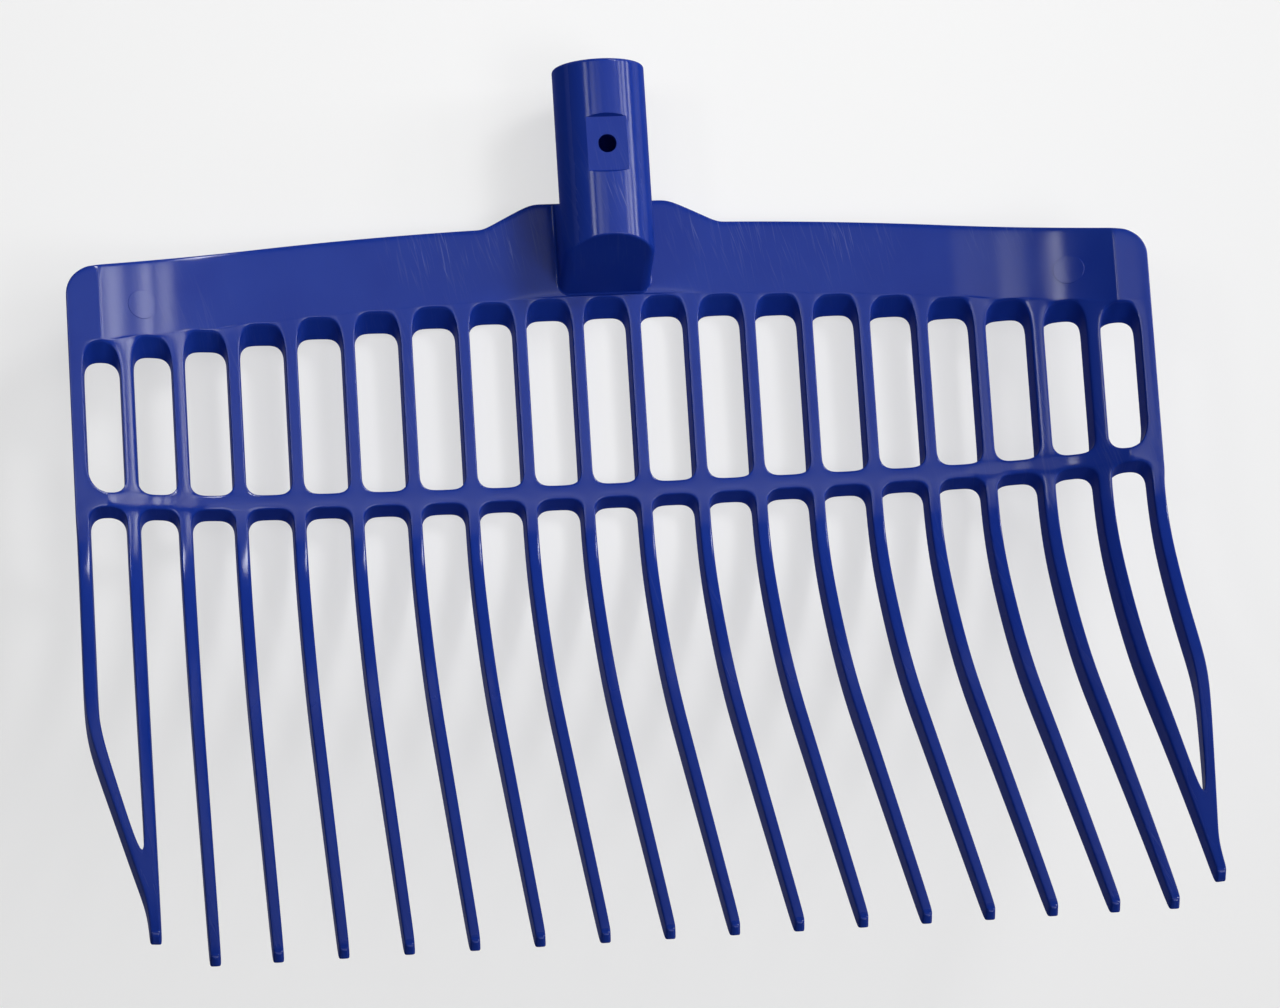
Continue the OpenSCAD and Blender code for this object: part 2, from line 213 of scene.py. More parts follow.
def bar_t(i):
    """Place of bar i along the bow; a half number is the middle of a slot."""
    c = i - (BAR_COUNT + 1) / 2
    return PITCH * (c - math.copysign(EDGE_PULL, c) * max(0, 2 * abs(c) - BAR_COUNT + 2))


def bar_x(i):
    t = abs(bar_t(i))
    if t <= BOW_HALF:
        x = BOW_RADIUS * math.sin(t / BOW_RADIUS)
    elif t <= BRIM_T:
        x = WING_X + WING_RADIUS * math.sin(CENTRE_TURN + (t - BOW_HALF) / WING_RADIUS)
    else:
        x = BRIM_X + (t - BRIM_T) * math.cos(BRIM_LEAN)
    return math.copysign(x, bar_t(i))


EDGE_X = bar_x(BAR_COUNT) + RAIL_WIDTH / 2


# Long edges of the plate, and ends of the straight part of the bars
def slot_top(t):
    return SLOT_TOP_MID - t * t / (2 * ARCH_RADIUS)


def plate_top(t):
    hump = clamp((HUMP_FOOT - abs(t)) / (HUMP_FOOT - HUMP_FLAT))
    return mix(slot_top(t) + PLATE_HEIGHT, HUMP_TOP, hump)


def foot_round(k, side):
    """Rounding of a lower corner of slot k."""
    return OUTER_ROUND if (k, side) in zip(EDGE_SLOTS, (-1, 1)) else SLOT_ROUND


def bar_start(k, side):
    return foot_round(k, side) + SEAM_SLACK


def bar_end(i):
    return slot_top(abs(bar_t(i)) + PITCH / 2) - SLOT_RAMP * BAR_DEPTH - SLOT_ROUND - SEAM_SLACK


# Centre line of a tine at distance s from its root
BEND_LENGTH = BEND_RADIUS * BEND_ANGLE
CURVE_LENGTH = BEND_LENGTH + SWEEP_RADIUS * SWEEP_ANGLE
FULL_LEAN = BEND_ANGLE + SWEEP_ANGLE


def lean(s):
    if s < BEND_LENGTH:
        return s / BEND_RADIUS
    return min(FULL_LEAN, BEND_ANGLE + (s - BEND_LENGTH) / SWEEP_RADIUS)


def path(s):
    bent, swept = min(lean(s), BEND_ANGLE), max(lean(s), BEND_ANGLE)
    beyond = max(0, s - CURVE_LENGTH)
    bend_y, bend_z = BEND_RADIUS * math.sin(bent), BEND_RADIUS * (1 - math.cos(bent))
    sweep_y = SWEEP_RADIUS * (math.sin(swept) - math.sin(BEND_ANGLE))
    sweep_z = SWEEP_RADIUS * (math.cos(BEND_ANGLE) - math.cos(swept))
    y = -ROOT_DROP - bend_y - sweep_y - beyond * math.cos(FULL_LEAN)
    z = bend_z + sweep_z + beyond * math.sin(FULL_LEAN)
    return y, z


def fade(s):
    return 1 - (s / TINE_LENGTH) ** BOW_FADE


def taper(a, b, s):
    return mix(a, b, (s / TINE_LENGTH) ** TAPER_POWER)


class Cage:
    """Points in metres and faces, each face with the name of the node that it belongs to."""

    def __init__(self):
        self.points = []
        self.faces = []
        self.labels = []
        self.corner_creases = []
        self.edge_creases = []

    def point(self, x, u, z):
        self.points.append(Vector((x, u - MIDDLE, z)) * MM)
        return len(self.points) - 1

    def middle(self, a, b, lift=0):
        place = (self.points[a] + self.points[b]) / 2
        self.points.append(place + Vector((0, 0, lift * MM)))
        return len(self.points) - 1

    def x(self, p):
        return self.points[p].x / MM

    def u(self, p):
        return self.points[p].y / MM + MIDDLE

    def face(self, label, *corners):
        ids = list(dict.fromkeys(corners))
        if len(ids) > 2:
            self.faces.append(ids)
            self.labels.append(label)

    def strip(self, label, first, second):
        for k in range(len(first) - 1):
            if None not in (first[k], first[k + 1], second[k], second[k + 1]):
                self.face(label, first[k], first[k + 1], second[k + 1], second[k])

    def band(self, label, first, second):
        """Strip between two closed rings."""
        self.strip(label, first + first[:1], second + second[:1])

    def grid(self, label, rows):
        for low, high in zip(rows, rows[1:]):
            self.strip(label, low, high)


def wall_point(cage, x, u, w):
    return cage.point(x, u, HALF + bow_height(x) + w)


def tine_point(cage, x, offset, w, s, lift, slope):
    y, z = path(s)
    d = w + offset * slope * fade(s)
    up = lift * fade(s) + z + d * math.cos(lean(s)) + HALF
    return cage.point(x + offset, y + d * math.sin(lean(s)), up)


# Rings round each opening, front to back: height above the middle of the wall and growth of the opening
RINGS = [(HALF, BEVEL), (HALF - BEVEL, 0), (BAR_DEPTH * SUPPORT, 0),
         (-BAR_DEPTH * SUPPORT, 0), (BEVEL - HALF, 0), (-HALF, BEVEL)]
BACK = len(RINGS) - 1


def bar_width(w):
    return mix(BAR_BACK, BAR_FRONT, w / BAR_DEPTH + 0.5)


def hole(k):
    """Middle of slot k, and distance between the bars beside it."""
    left, right = bar_x(k), bar_x(k + 1)
    return (left + right) / 2, right - left


def mid_x(k):
    """Middle line of slot k; in the outermost slots it follows the bend of the wall."""
    if k in EDGE_SLOTS:
        return math.copysign(BRIM_X, hole(k)[0])
    return hole(k)[0]


def top_height(k, w, gap):
    """Height of the top of slot k, or of the gap below it, at height w in the wall."""
    if gap:
        return CROSSBAR_TILT * (w - HALF) - CROSSBAR_HEIGHT
    return slot_top(bar_t(k + 0.5)) + SLOT_RAMP * (w - HALF)


def arc_row(cage, k, side, angle, foot=False, gap=False):
    """Points on one rounded corner of slot or gap k, front to back."""
    mid, span = hole(k)
    row = []
    for w, grow in RINGS:
        half = (span - bar_width(w)) / 2
        r = min(SLOT_ROUND, half * CORNER_SHARE) + grow
        if foot and foot_round(k, side) == OUTER_ROUND:
            r = half * OUTER_SHARE + grow
        if foot:
            rise = foot_round(k, side) + grow
            u = CROSSBAR_TILT * (w - HALF) - grow + rise * (1 - math.cos(angle))
            x = half + grow - r + r * math.sin(angle)
        else:
            rise = r if gap else mix(SLOT_ROUND, SLOT_TOP_ROUND, w / BAR_DEPTH + 0.5) + grow
            u = top_height(k, w, gap) + grow - rise * (1 - math.sin(angle))
            x = half + grow - r + r * math.cos(angle)
        row.append(wall_point(cage, mid + side * x, u, w))
    return row


def bar_row(cage, k, side, u):
    mid, span = hole(k)
    return [wall_point(cage, mid + side * ((span - bar_width(w)) / 2 + grow), u, w) for w, grow in RINGS]


def section(front, back, depth, bevel):
    """Half widths and heights of one side of a bar, front to back."""
    edge, support = depth / 2, depth * SUPPORT
    heights = [edge, edge - bevel, support, -support, bevel - edge, -edge]
    widths = [mix(back, front, h / depth + 0.5) / 2 for h in heights]
    widths[0] -= bevel
    widths[BACK] -= bevel
    return list(zip(widths, heights))


def tine_section(s, share):
    return section(taper(BAR_FRONT, TIP_FRONT, s) * share, taper(BAR_BACK, TIP_BACK, s) * share,
                   taper(BAR_DEPTH, TIP_DEPTH, s) * share, BEVEL * share)


def tine_row(cage, i, side, s, share, extra=0):
    x = bar_x(i)
    return [tine_point(cage, x, side * (dx + extra), w, s, bow_height(x), bow_slope(x))
            for dx, w in tine_section(s, share)]


def outer_tine(i):
    """Outermost tine beside the rail i."""
    return OUTER_TINES[EDGE_BARS.index(i)]


def rail_shift(s):
    """Share of its way to the tine that a rail has gone at distance s, eased in the bend."""
    past = max(0, s - RAIL_LEAN_START + RAIL_BEND)
    gone = past * past / (4 * RAIL_BEND) if past < 2 * RAIL_BEND else s - RAIL_LEAN_START
    return clamp(gone / (RAIL_MERGE - RAIL_LEAN_START))


def rail_place(i, s):
    """Place, width, lift and slope of a rail at distance s."""
    q = rail_shift(s)
    outer, inner = bar_x(i), bar_x(outer_tine(i))
    lift = mix(bow_height(outer), bow_height(inner), q)
    slope = mix(bow_slope(outer), bow_slope(inner), q)
    return mix(outer, inner, q), mix(RAIL_WIDTH, TIP_FRONT, q), lift, slope


def rail_row(cage, i, side, s):
    x, width, lift, slope = rail_place(i, s)
    shape = section(width * BAR_FRONT / BAR_BACK, width, taper(BAR_DEPTH, TIP_DEPTH, s), BEVEL)
    return [tine_point(cage, x, side * dx, w, s, lift, slope) for dx, w in shape]


def merged_row(cage, i, side, s, share):
    """Outer side of an outermost tine below the place where the rail has joined it."""
    tine = outer_tine(i)
    x, width, _, _ = rail_place(i, s)
    extra = max(0, side * (x - bar_x(tine)) + width / 2 - taper(BAR_BACK, TIP_BACK, s) / 2)
    return tine_row(cage, tine, side, s, share, extra)


def all_stations(i):
    """Distances of the rows along tine or rail i, each with its share of the section."""
    end = TINE_LENGTH - (OUTER_TINE_CUT if i in EDGE_BARS + OUTER_TINES else 0)
    return [(s, 1) for s in STATIONS] + [(end - way * TIP_DEPTH / 2, share) for way, share in TIP_RINGS]


def wall_rows(cage, k, side, i):
    """Side of bar i towards slot k, from the top of the slot to its foot."""
    low, high = bar_start(k, side), bar_end(i)
    rows = [arc_row(cage, k, side, a) for a in ARC_ANGLES]
    rows += [bar_row(cage, k, side, mix(high, low, j / BAR_ROWS)) for j in range(BAR_ROWS + 1)]
    return rows + [arc_row(cage, k, side, a, foot=True) for a in ARC_ANGLES]


def tine_rows(cage, k, side, i):
    """Side of tine or rail i towards gap k, from the crossbar to the tip."""
    rows = [arc_row(cage, k, side, a, gap=True) for a in ARC_ANGLES]
    for s, share in all_stations(i):
        if i in EDGE_BARS:
            rows.append(rail_row(cage, i, -side, s))
        else:
            rows.append(tine_row(cage, i, -side, s, share))
    return rows


def free_rows(cage, i, side, part, held):
    """Free side of an outermost bar or rail, level with the rows of its held side."""
    rows = []
    for j, row in enumerate(held):
        s, share = all_stations(i)[max(0, j - ARCS)]
        if part == "wall" or j < ARCS:
            rows.append([wall_point(cage, side * (EDGE_X - grow), cage.u(p), w)
                         for p, (w, grow) in zip(row, RINGS)])
        elif j <= CROTCH_ROW:
            rows.append(rail_row(cage, i, side, s))
        else:
            rows.append(merged_row(cage, i, side, s, share))
    return rows


def join_rails(cage, sides):
    """Closes the gap between rail and outermost tine, and carries one middle line on to the tip."""
    for rail, inner, outer in zip(EDGE_BARS, ("right", "left"), ("left", "right")):
        tine = outer_tine(rail)
        a, b = sides[rail, inner, "tine"], sides[tine, outer, "tine"]
        far, near = sides[rail, outer, "tine"], sides[tine, inner, "tine"]
        shared = [cage.middle(p, q) for p, q in zip(a[CROTCH_ROW], b[CROTCH_ROW])]
        a[CROTCH_ROW], b[CROTCH_ROW] = shared, shared
        for j in range(CROTCH_ROW + 1, len(a)):
            row = [None] * len(RINGS)
            for ring in (0, BACK):
                row[ring] = cage.middle(far[j][ring], near[j][ring])
            a[j], b[j] = row, row


def make_sides(cage):
    """Rows of points along both sides of every bar, from the slot tops to the tips."""
    sides = {}
    for k in range(1, BAR_COUNT):
        for side, i, key in ((-1, k, "right"), (1, k + 1, "left")):
            sides[i, key, "wall"] = wall_rows(cage, k, side, i)
            sides[i, key, "tine"] = tine_rows(cage, k, side, i)
    for i, side, free, held in ((1, -1, "left", "right"), (BAR_COUNT, 1, "right", "left")):
        for part in ("wall", "tine"):
            sides[i, free, part] = free_rows(cage, i, side, part, sides[i, held, part])
    join_rails(cage, sides)
    return sides


def bar_labels(i):
    """Node names of the stretches of bar i, top to bottom, above and below the crossbar's middle."""
    bar = {1: "side_bar_left", BAR_COUNT: "side_bar_right"}.get(i, f"bar_{i - 1:02d}")
    tine = f"tine_{min(max(i - 1, 1), BAR_COUNT - 2):02d}"
    rail = {1: "side_rail_left", BAR_COUNT: "side_rail_right"}.get(i, tine)
    upper = CROTCH_ROW - ARCS
    lower = len(all_stations(i)) - 1 - upper
    wall = ["back_plate"] * ARCS + [bar] * BAR_ROWS + ["crossbar"] * ARCS
    return wall, ["crossbar"] * ARCS + [rail] * upper + [tine] * lower


def make_bars(cage, sides):
    """Front, back and side faces of every bar and tine; returns the middle points of the top rows."""
    tops = {}
    for i in range(1, BAR_COUNT + 1):
        left = sides[i, "left", "wall"] + sides[i, "left", "tine"]
        right = sides[i, "right", "wall"] + sides[i, "right", "tine"]
        wall, below = bar_labels(i)
        labels = wall + ["crossbar"] + below
        front = [cage.middle(a[0], b[0], CROWN) for a, b in zip(left, right)]
        back = [cage.middle(a[BACK], b[BACK], -CROWN) for a, b in zip(left, right)]
        tops[i] = (front[0], back[0])
        fronts = [[a[0], m, b[0]] for a, m, b in zip(left, front, right)]
        backs = [[b[BACK], m, a[BACK]] for a, m, b in zip(left, back, right)]
        for j, label in enumerate(labels):
            cage.strip(label, fronts[j], fronts[j + 1])
            cage.strip(label, backs[j], backs[j + 1])
            for rows, free in ((right, BAR_COUNT), (left, 1)):
                # Between slot and gap only the free sides have a face, the rest is crossbar
                if j != len(wall) or i == free:
                    cage.strip(label, rows[j], rows[j + 1])
        close_tip(cage, labels[-1], left[-1], front[-1], back[-1], right[-1])
    return tops


def close_tip(cage, label, left, front, back, right):
    """End face of a tine, in quads between its left and right points."""
    whole = [row for row in (left, right) if None not in row]
    if len(whole) < 2:
        cage.strip(label, [left[0], front, right[0]], [left[BACK], back, right[BACK]])
        for row in whole:
            cage.face(label, *row)
        return
    cage.face(label, left[0], front, right[0], right[1], left[1])
    for ring in range(1, BACK - 1):
        cage.face(label, left[ring], right[ring], right[ring + 1], left[ring + 1])
    cage.face(label, left[BACK - 1], right[BACK - 1], right[BACK], back, left[BACK])


def make_crossings(cage, sides):
    """Ends of the slots and gaps, and the crossbar between; returns the middle rows of the slot tops."""
    middles = {}
    for k in range(1, BAR_COUNT):
        a_wall, b_wall = sides[k, "right", "wall"], sides[k + 1, "left", "wall"]
        a_tine, b_tine = sides[k, "right", "tine"], sides[k + 1, "left", "tine"]
        x = mid_x(k)
        top = [wall_point(cage, x, top_height(k, w, False) + grow, w) for w, grow in RINGS]
        foot = [wall_point(cage, x, CROSSBAR_TILT * (w - HALF) - grow, w) for w, grow in RINGS]
        gap = [wall_point(cage, x, top_height(k, w, True) + grow, w) for w, grow in RINGS]
        cage.grid("back_plate", [a_wall[0], top, b_wall[0]])
        cage.grid("crossbar", [a_wall[-1], foot, b_wall[-1]])
        cage.grid("crossbar", [a_tine[0], gap, b_tine[0]])
        for ring in (0, BACK):
            cage.grid("crossbar", [[r[ring] for r in (a_wall[-1], foot, b_wall[-1])],
                                   [r[ring] for r in (a_tine[0], gap, b_tine[0])]])
            if k in EDGE_SLOTS:
                cage.edge_creases.append((foot[ring], gap[ring]))
        middles[k] = top
    return middles


# Columns of points on the plate at each bar: its left side, middle and right side, then the next slot
COLUMNS = 4
LEFT, CENTRE, RIGHT, SLOT = range(COLUMNS)

# Rows up the front of the plate: lift above the slots, share of the way up, share of the step's rise
FRONT_ROWS = [(STEP_FOOT, 0, 0), (STEP_HEAD, 0, 1), (0, 0.3, 0.7), (0, 0.62, 0.4)]

# Rows up its back: lift of those below the pockets, then share of the way up the pockets
LOWER_LIFTS = {1: STEP_FOOT, 2: STEP_HEAD}
POCKET_SHARES = {3: 0, 4: 0.5, 5: 1}


def step_rise(x):
    return STEP_RISE * max(0, 1 - (x / STEP_HALF) ** 2)


def snapped(x, columns):
    """Moves the nearest column onto each corner of the plate's upper outline."""
    for corner in (HUMP_FLAT, HUMP_FOOT, EDGE_X - CORNER_ROUND):
        if abs(x) == min(columns, key=lambda c: abs(c - corner)):
            return math.copysign(corner, x)
    return x


def rim_point(cage, x, end, outermost, grow, w):
    """Point on the upper rim of the plate; the outermost ones lie halfway round its corners."""
    r = CORNER_ROUND - grow
    past = r * math.sqrt(0.5) if outermost else abs(end) - EDGE_X + CORNER_ROUND
    u = plate_top(arc_length(end)) - grow
    if past > 0:
        u = plate_top(arc_length(EDGE_X)) - CORNER_ROUND + math.sqrt(max(0, r * r - past * past))
    return wall_point(cage, math.copysign(past + EDGE_X - CORNER_ROUND, x), u, w)


def make_plate(cage, sides, tops, middles):
    """Front, rim and ribbed back of the plate above the slots."""
    front_row, back_row = [], []
    for i in range(1, BAR_COUNT + 1):
        left, right = sides[i, "left", "wall"][0], sides[i, "right", "wall"][0]
        front_row += [left[0], tops[i][0], right[0]]
        back_row += [left[BACK], tops[i][1], right[BACK]]
        if i in middles:
            front_row.append(middles[i][0])
            back_row.append(middles[i][BACK])
    xs = [cage.x(p) for p in front_row]
    ends = [snapped(x, [abs(c) for c in xs[1:-1]]) for x in xs]
    last = len(xs) - 1
    columns = range(last + 1)

    def rim(grow, w):
        return [rim_point(cage, xs[c], ends[c], c in (0, last), grow, w) for c in columns]

    front = [front_row]
    for lift, share, step in FRONT_ROWS:
        row = []
        for c in columns:
            u = mix(cage.u(front_row[c]), plate_top(arc_length(ends[c])), share) + lift
            row.append(wall_point(cage, mix(xs[c], ends[c], share), u, HALF + step * step_rise(xs[c])))
        front.append(row)
    shoulder = []
    for c in columns:
        x = math.copysign(EDGE_X - BEVEL, xs[c]) if c in (0, last) else ends[c]
        shoulder.append(wall_point(cage, x, plate_top(arc_length(ends[c])) - CORNER_ROUND, HALF))
    front += [shoulder, rim(BEVEL, HALF)]
    cage.grid("back_plate", front)
    back = make_back(cage, back_row, xs, front, rim)
    edge = [rim(0, w) for w, _ in RINGS[1:BACK]]
    cage.grid("back_plate", [front[-1]] + edge + [back[-1]])
    for c, i, key in ((0, 1, "left"), (last, BAR_COUNT, "right")):
        column = [sides[i, key, "wall"][0]]
        x = math.copysign(EDGE_X, xs[c])
        for front_points, back_points in zip(front[1:-1], back[1:-1]):
            inner = [wall_point(cage, x, cage.u(front_points[c]), w) for w, _ in RINGS[1:BACK]]
            column.append([front_points[c]] + inner + [back_points[c]])
        column.append([front[-1][c]] + [row[c] for row in edge] + [back[-1][c]])
        cage.grid("back_plate", column)
    for k in EDGE_SLOTS:
        c = COLUMNS * (k - 1) + SLOT
        for rows in (front, back[-2:]):
            cage.edge_creases += [(low[c], high[c]) for low, high in zip(rows, rows[1:])]


def pocket_reach(k):
    """Lower and upper end of the pocket behind the plate above slot k."""
    t = bar_t(k + 0.5)
    low = slot_top(t) - SLOT_RAMP * BAR_DEPTH + FLANGE + PITCH * PITCH / (2 * ARCH_RADIUS)
    high = min(plate_top(t - PITCH / 2), plate_top(t + PITCH / 2)) - FLANGE
    return low, high


def beside_pocket(c, x, share):
    """Place of column c on the plate's back, at a share of the way up the pockets next to it."""
    i, kind = c // COLUMNS + 1, c % COLUMNS
    near = {LEFT: [i - 1], CENTRE: [k for k in (i - 1, i) if 1 <= k < BAR_COUNT]}.get(kind, [i])
    lows, highs = zip(*[pocket_reach(k) for k in near])
    low = sum(lows) / len(near) - BEVEL
    high = sum(highs) / len(near) + BEVEL
    mid, span = hole(near[0])
    wide = (span - RIB) / 2 + BEVEL
    across = {LEFT: mid + wide, CENTRE: x, RIGHT: mid - wide, SLOT: mid_x(i)}[kind]
    return across, mix(low, high, share)


def make_back(cage, base, xs, front, rim):
    """Back of the plate: ribs and flanges round a row of pockets; returns its rows."""
    last = len(xs) - 1
    rows = [base]
    for r in range(1, len(front) - 1):
        row = []
        for c, x in enumerate(xs):
            if c in (0, last):
                place = math.copysign(EDGE_X - BEVEL, x), cage.u(front[r][c])
            elif r in LOWER_LIFTS:
                place = x, cage.u(base[c]) + LOWER_LIFTS[r]
            else:
                place = beside_pocket(c, x, POCKET_SHARES[r])
            row.append(wall_point(cage, *place, -HALF))
        rows.append(row)
    rows.append(rim(BEVEL, -HALF))
    pocket_rows = list(POCKET_SHARES)
    for r, (low, high) in enumerate(zip(rows, rows[1:])):
        for c in range(last):
            if r not in pocket_rows[:-1] or c % COLUMNS < RIGHT:
                cage.face("back_plate", low[c], low[c + 1], high[c + 1], high[c])
    low, mid, high = [rows[r] for r in pocket_rows]
    for k in range(1, BAR_COUNT):
        a = COLUMNS * (k - 1) + RIGHT
        b = a + 2
        make_pocket(cage, k, low[a:b + 1] + [mid[b]] + high[a:b + 1][::-1] + [mid[a]])
    return rows


def make_pocket(cage, k, ring):
    """Pocket behind the plate above slot k, from the ring round its mouth to its floor."""
    mid, span = hole(k)
    low, high = pocket_reach(k)
    floor = HALF - (SOCKET_SKIN if k == BAR_COUNT // 2 else PLATE_SKIN)
    half = (span - RIB) / 2
    line = mid_x(k) - mid
    corners = (0, 2, 4, 6)
    cage.corner_creases += [ring[c] for c in corners]
    for w, inset in ((BEVEL - HALF, 0), (floor - BEVEL, 0), (floor, BEVEL)):
        a, b = low + SLOT_RAMP * (w + HALF) + inset, high - inset
        m, h = (a + b) / 2, half - inset
        places = [(-h, a), (line, a), (h, a), (h, m), (h, b), (line, b), (-h, b), (-h, m)]
        deeper = [wall_point(cage, mid + x, u, w) for x, u in places]
        cage.corner_creases += [deeper[c] for c in corners]
        cage.band("back_plate", ring, deeper)
        ring = deeper
    centre = wall_point(cage, mid_x(k), m, floor)
    for c in corners:
        cage.face("back_plate", ring[c - 1], ring[c], ring[c + 1], centre)


def drop_loose(copy):
    loose = [v for v in copy.verts if not v.link_faces]
    bmesh.ops.delete(copy, geom=loose, context="VERTS")


def build_mesh(cage, name):
    """Smoothed mesh of a cage; a stand-in material for each node name tells its faces apart."""
    names = sorted(set(cage.labels))
    mesh = bpy.data.meshes.new(name)
    mesh.from_pydata(cage.points, [], cage.faces)
    for label in names:
        mesh.materials.append(bpy.data.materials.new("part " + label))
    for face, label in zip(mesh.polygons, cage.labels):
        face.material_index = names.index(label)
    copy = bmesh.new()
    copy.from_mesh(mesh)
    corner_crease = copy.verts.layers.float.new("crease_vert")
    edge_crease = copy.edges.layers.float.new("crease_edge")
    copy.verts.ensure_lookup_table()
    for v in cage.corner_creases:
        copy.verts[v][corner_crease] = POCKET_CREASE
    for a, b in cage.edge_creases:
        edge = copy.edges.get((copy.verts[a], copy.verts[b]))
        if edge:
            edge[edge_crease] = BRIM_CREASE
    drop_loose(copy)
    bmesh.ops.recalc_face_normals(copy, faces=copy.faces)
    copy.to_mesh(mesh)
    copy.free()
    return evaluated(mesh, [("SUBSURF", {"levels": SMOOTH_LEVEL, "render_levels": SMOOTH_LEVEL})]), names


def add_object(name, data):
    thing = bpy.data.objects.new(name, data)
    bpy.context.scene.collection.objects.link(thing)
    return thing


def evaluated(mesh, modifiers):
    """Mesh with modifiers applied to it."""
    draft = add_object(mesh.name, mesh)
    for kind, settings in modifiers:
        modifier = draft.modifiers.new(kind.lower(), kind)
        for key, value in settings.items():
            setattr(modifier, key, value)
    bpy.context.view_layer.update()
    result = bpy.data.meshes.new_from_object(draft.evaluated_get(bpy.context.evaluated_depsgraph_get()))
    bpy.data.objects.remove(draft)
    return result


def add_piece(mesh, node, material):
    mesh.name = node + "_skin"
    mesh.materials.clear()
    mesh.materials.append(material)
    piece = add_object(node + "_skin", mesh)
    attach(piece, "root")
    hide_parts(node)


def split_pieces(mesh, names, material, marks):
    """One closed piece per node, each with the normals of the whole so that no seam shows."""
    normals = [v.normal.copy() for v in mesh.vertices]
    for index, node in enumerate(names):
        faces = [list(f.vertices) for f in mesh.polygons if f.material_index == index]
        used = sorted({v for f in faces for v in f})
        place = {v: n for n, v in enumerate(used)}
        part = bpy.data.meshes.new(node)
        part.from_pydata([mesh.vertices[v].co for v in used], [], [[place[v] for v in f] for f in faces])
        closed = bmesh.new()
        closed.from_mesh(part)
        bmesh.ops.holes_fill(closed, edges=[e for e in closed.edges if e.is_boundary], sides=0)
        directions = [normals[v] for v in used]
        for mark in marks.get(node, []):
            directions += add_disc(closed, *mark)
        closed.to_mesh(part)
        closed.free()
        part.shade_smooth()
        part.normals_split_custom_set_from_vertices(directions)
        add_piece(part, node, material)


# Round ejector marks on the front: low discs with a height, a radius and a rise
WING_MARK_X = 175.5
WING_MARK = (70.7, 5.4, 0.35)
BAR_MARK = (-2.6, 3.9, 0.1)
MARKED_BARS = (2, 3, BAR_COUNT - 2, BAR_COUNT - 1)
DISC_POINTS = 40
DISC_SINK = 0.3
DISC_RINGS = [(0, 0, 1.2), (0.06, 0.7, 0.9), (0.2, 1, 0)]  # inset, share of the rise, tilt of the normals


def ejector_marks():
    wings = [(side * WING_MARK_X, *WING_MARK) for side in (-1, 1)]
    bars = [(bar_x(i), *BAR_MARK) for i in MARKED_BARS]
    return {"back_plate": wings, "crossbar": bars}


def wall_normal(x):
    return Vector((-bow_slope(x), 0, 1)).normalized()


def add_disc(target, x, u, radius, rise):
    """Adds a low disc on the front of the wall; returns the normals of its points."""
    rings = []
    normals = []
    for inset, share, tilt in DISC_RINGS:
        r = radius - inset
        lift = rise * share if share else -DISC_SINK
        ring = []
        for k in range(DISC_POINTS):
            a = 2 * math.pi * k / DISC_POINTS
            out = Vector((math.cos(a), math.sin(a), 0))
            px, pu = x + r * math.cos(a), u + r * math.sin(a)
            place = Vector((px, pu - MIDDLE, BAR_DEPTH + bow_height(px))) + wall_normal(px) * lift
            ring.append(target.verts.new(place * MM))
            normals.append((wall_normal(px) + out * tilt).normalized())
        rings.append(ring)
    for low, high in zip(rings, rings[1:]):
        for k in range(DISC_POINTS):
            n = (k + 1) % DISC_POINTS
            target.faces.new((low[k], low[n], high[n], high[k]))
    target.faces.new(rings[-1])
    target.faces.new(rings[0][::-1])
    return normals


# Socket: a fine mesh drawn row by row, then its sharp edges are rounded
PAD_TURN = math.degrees(math.acos(1 - PAD_DEPTH / SOCKET_R))
PAD_Z = AXIS_Z + SOCKET_R - PAD_DEPTH
PAD_SLOPE = 1.6
PAD_STEPS = 8
SIDE_STEPS = 11
BELOW_STEPS = 30
ACROSS_STEPS = 8
PAD_FIRST, PAD_LAST = SIDE_STEPS, SIDE_STEPS + PAD_STEPS
ROUND_STEPS = [math.radians(a) for a in (0, 18, 36, 54, 72, 90)]
RIM_ROUND = 1.2
BORE_ROUND = 0.6
CROWN_ROUND = 0.6  # of the foot's edge on top of the tube
CROWN_TURN = 35  # degrees above the axis at which that rounding is reached
FILLET = 1.0
FILLET_AT_FOOT = 0.4
FOOT_SINK = 0.6
FOOT_Z = BAR_DEPTH + STEP_RISE + FILLET
SIDE_LEVELS = [FOOT_Z, 15, 20, 25]
SOCKET_EDGE = 0.3
EDGE_TURN = math.radians(23)
FLAT_INSET = 0.35
FLAT_CORNERS = 12  # faces with more corners than this are large and flat
NORMAL_WEIGHT = 80


def plate_z(x, u):
    """Height of the front of the plate, with its low step, at a place beside the socket."""
    q = (u - SLOT_TOP_MID) / (HUMP_TOP - CORNER_ROUND - SLOT_TOP_MID)
    return BAR_DEPTH + bow_height(x) + step_rise(x) * clamp(1 - q)


def foot_u(z):
    return SOCKET_FOOT + FOOT_RAMP * (z - BAR_DEPTH)


def saddle_u(z):
    return HUMP_TOP - SADDLE_LEAN * (z - BAR_DEPTH + PLATE_SKIN)


def crown_angles():
    """Angles round the upper half of the tube, evenly spaced on the pad and beside it."""
    side = 90 - PAD_TURN
    right = [side * k / SIDE_STEPS for k in range(SIDE_STEPS)]
    pad = [side + 2 * PAD_TURN * k / PAD_STEPS for k in range(PAD_STEPS + 1)]
    return right + pad + [180 - a for a in reversed(right)]


def on_tube(angle, r=SOCKET_R):
    return r * math.cos(math.radians(angle)), AXIS_Z + r * math.sin(math.radians(angle))


def socket_lane(cage, x, z, inward_x, inward_z, soft):
    """Points from the rounded edge of the foot along the socket to the saddle."""
    lane = []
    for a in ROUND_STEPS:
        inset = soft * (1 - math.sin(a))
        pz = z + inward_z * inset
        lane.append(cage.point(x + inward_x * inset, foot_u(pz) + soft * (1 - math.cos(a)), pz))
    end = saddle_u(min(z, AXIS_Z))
    lane.append(cage.point(x, mix(foot_u(z) + soft, end, 0.5), z))
    lane.append(cage.point(x, end, z))
    return lane


